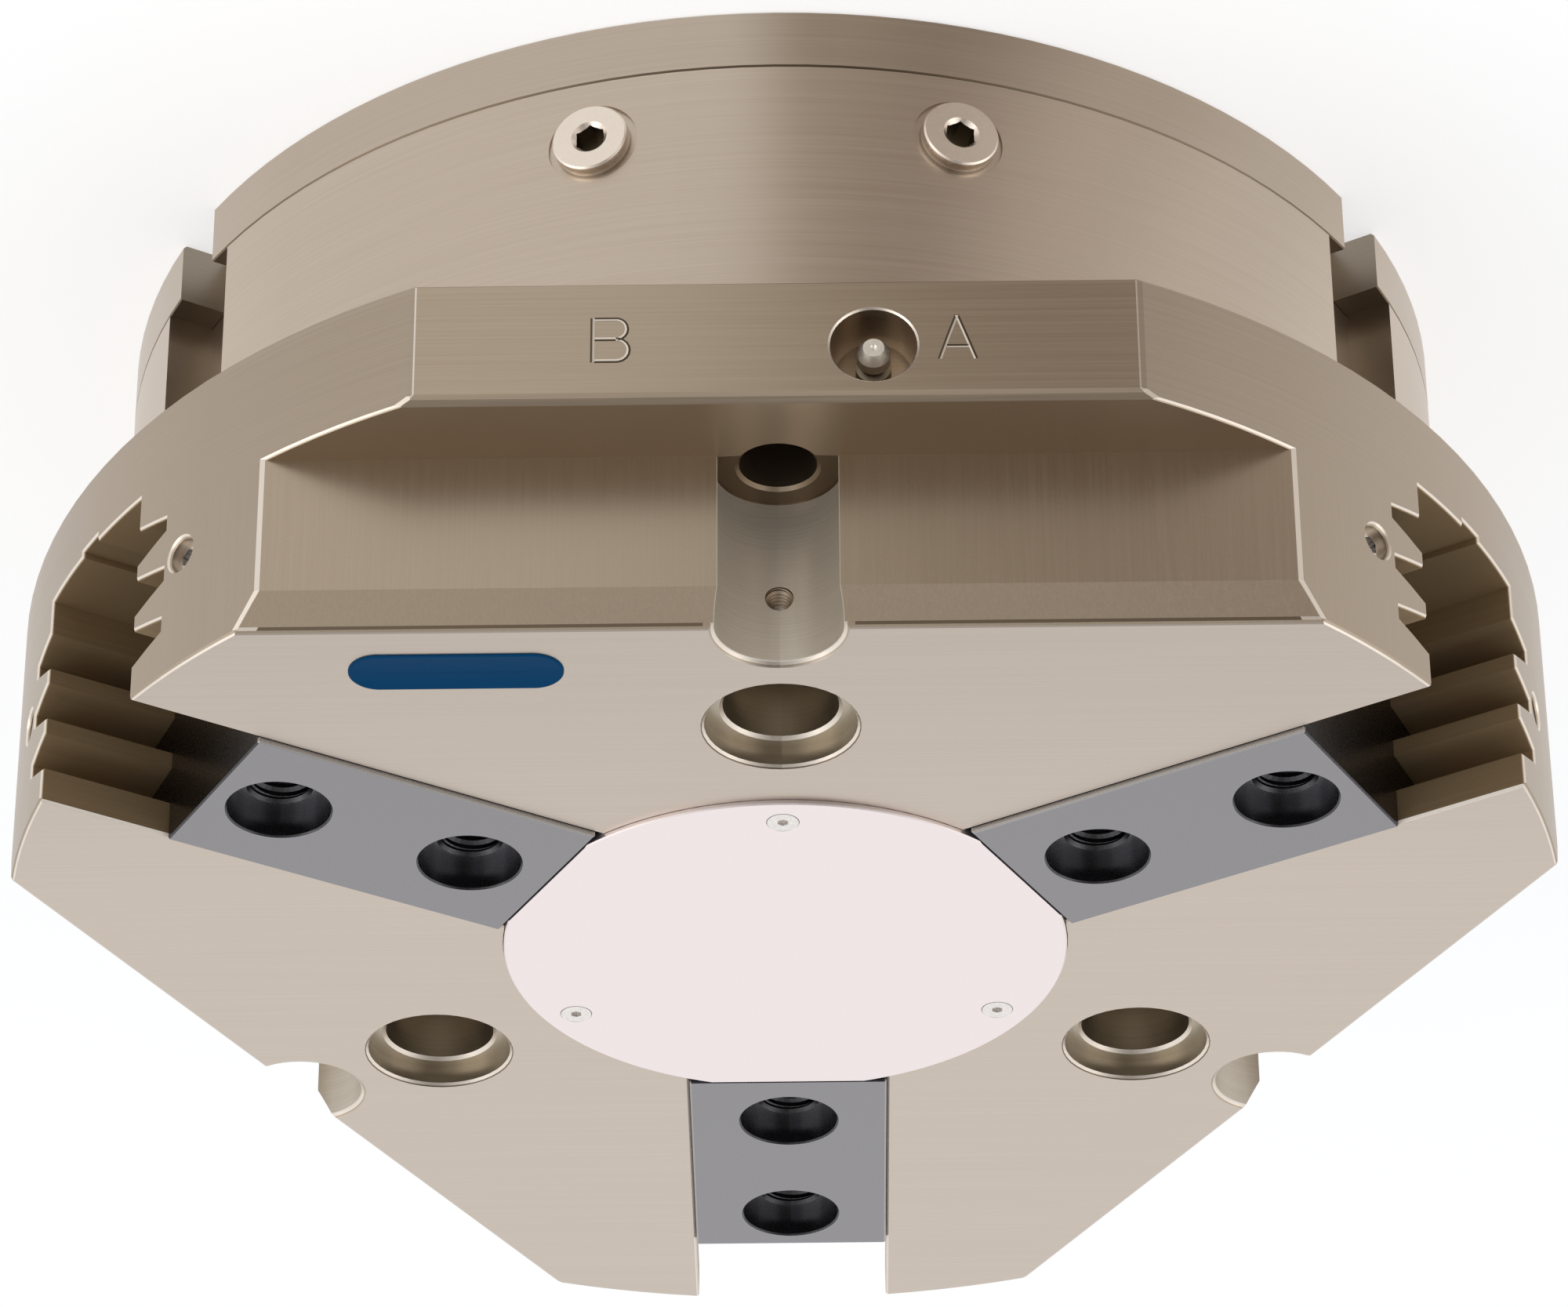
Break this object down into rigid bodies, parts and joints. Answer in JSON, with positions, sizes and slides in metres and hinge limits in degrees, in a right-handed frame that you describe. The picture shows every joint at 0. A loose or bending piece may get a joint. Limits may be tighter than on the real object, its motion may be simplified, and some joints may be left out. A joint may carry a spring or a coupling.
{
  "type": "three jaw centric gripper",
  "caption": "Round centric gripper with lobed body, toothed guideways and base jaws that open and close together, driven by a piston and wedge hook.",
  "frame": {"origin": "centre of the flat back face that is bolted to the robot", "axes": "+Z from the back face to the jaws, the rear jaw opens along +Y, the ports face -Y"},
  "size_m": [0.46, 0.4365, 0.1955],
  "materials": {
    "housing": "fine brushed, warm champagne plating",
    "flange": "fine brushed, warm champagne plating",
    "dark_screw": "black oxide",
    "seal_rubber": "smooth",
    "ground_steel": "ground",
    "cover_plate": "pale, finely brushed",
    "bright_screw": "bright",
    "nickel_plug": "nickel plated",
    "washer_steel": "satin",
    "bush_bronze": "turned bronze",
    "piston_metal": "turned",
    "guide_plastic": "smooth",
    "hardened_steel": "hardened and ground",
    "jaw_steel": "hardened, ground, dark"
  },
  "bodies": {
    "body": {"housing": "housing", "drum": "housing", "back_cover": "flange", "back_cover_screws": "dark_screw", "back_cover_seal": "seal_rubber", "base_port_seals": "seal_rubber", "flange_dowels": "ground_steel", "front_cover": "cover_plate", "front_cover_screws": "bright_screw", "port_plug_a": "nickel_plug", "port_plug_b": "nickel_plug", "port_plug_washers": "washer_steel", "grease_nipple": "nickel_plug", "side_set_screws": "bright_screw", "rod_bush": "bush_bronze", "rod_seal": "seal_rubber"},
    "drive": {"piston": "piston_metal", "piston_seal": "seal_rubber", "piston_guide_ring": "guide_plastic", "piston_rod": "ground_steel", "piston_screw": "dark_screw", "hook_screw": "dark_screw", "wedge_hook": "hardened_steel", "hook_dowels": "ground_steel"},
    "rear_jaw": {"jaw_rear": "jaw_steel"},
    "left_jaw": {"jaw_left": "jaw_steel"},
    "right_jaw": {"jaw_right": "jaw_steel"}
  },
  "joints": [
    {"name": "piston_slide", "type": "slide", "parent": "body", "child": "drive", "axis": [0, 0, 1], "range_m": [0, 0.045]},
    {"name": "jaw_rear_slide", "type": "slide", "parent": "body", "child": "rear_jaw", "axis": [0, 1, 0], "range_m": [0, 0.045]},
    {"name": "jaw_left_slide", "type": "slide", "parent": "body", "child": "left_jaw", "axis": [-0.866, -0.5, 0], "range_m": [0, 0.045]},
    {"name": "jaw_right_slide", "type": "slide", "parent": "body", "child": "right_jaw", "axis": [0.866, -0.5, 0], "range_m": [0, 0.045]}
  ],
  "couplings": [
    {"joint": "jaw_rear_slide", "follows": "piston_slide", "ratio": 1},
    {"joint": "jaw_left_slide", "follows": "piston_slide", "ratio": 1},
    {"joint": "jaw_right_slide", "follows": "piston_slide", "ratio": 1}
  ]
}
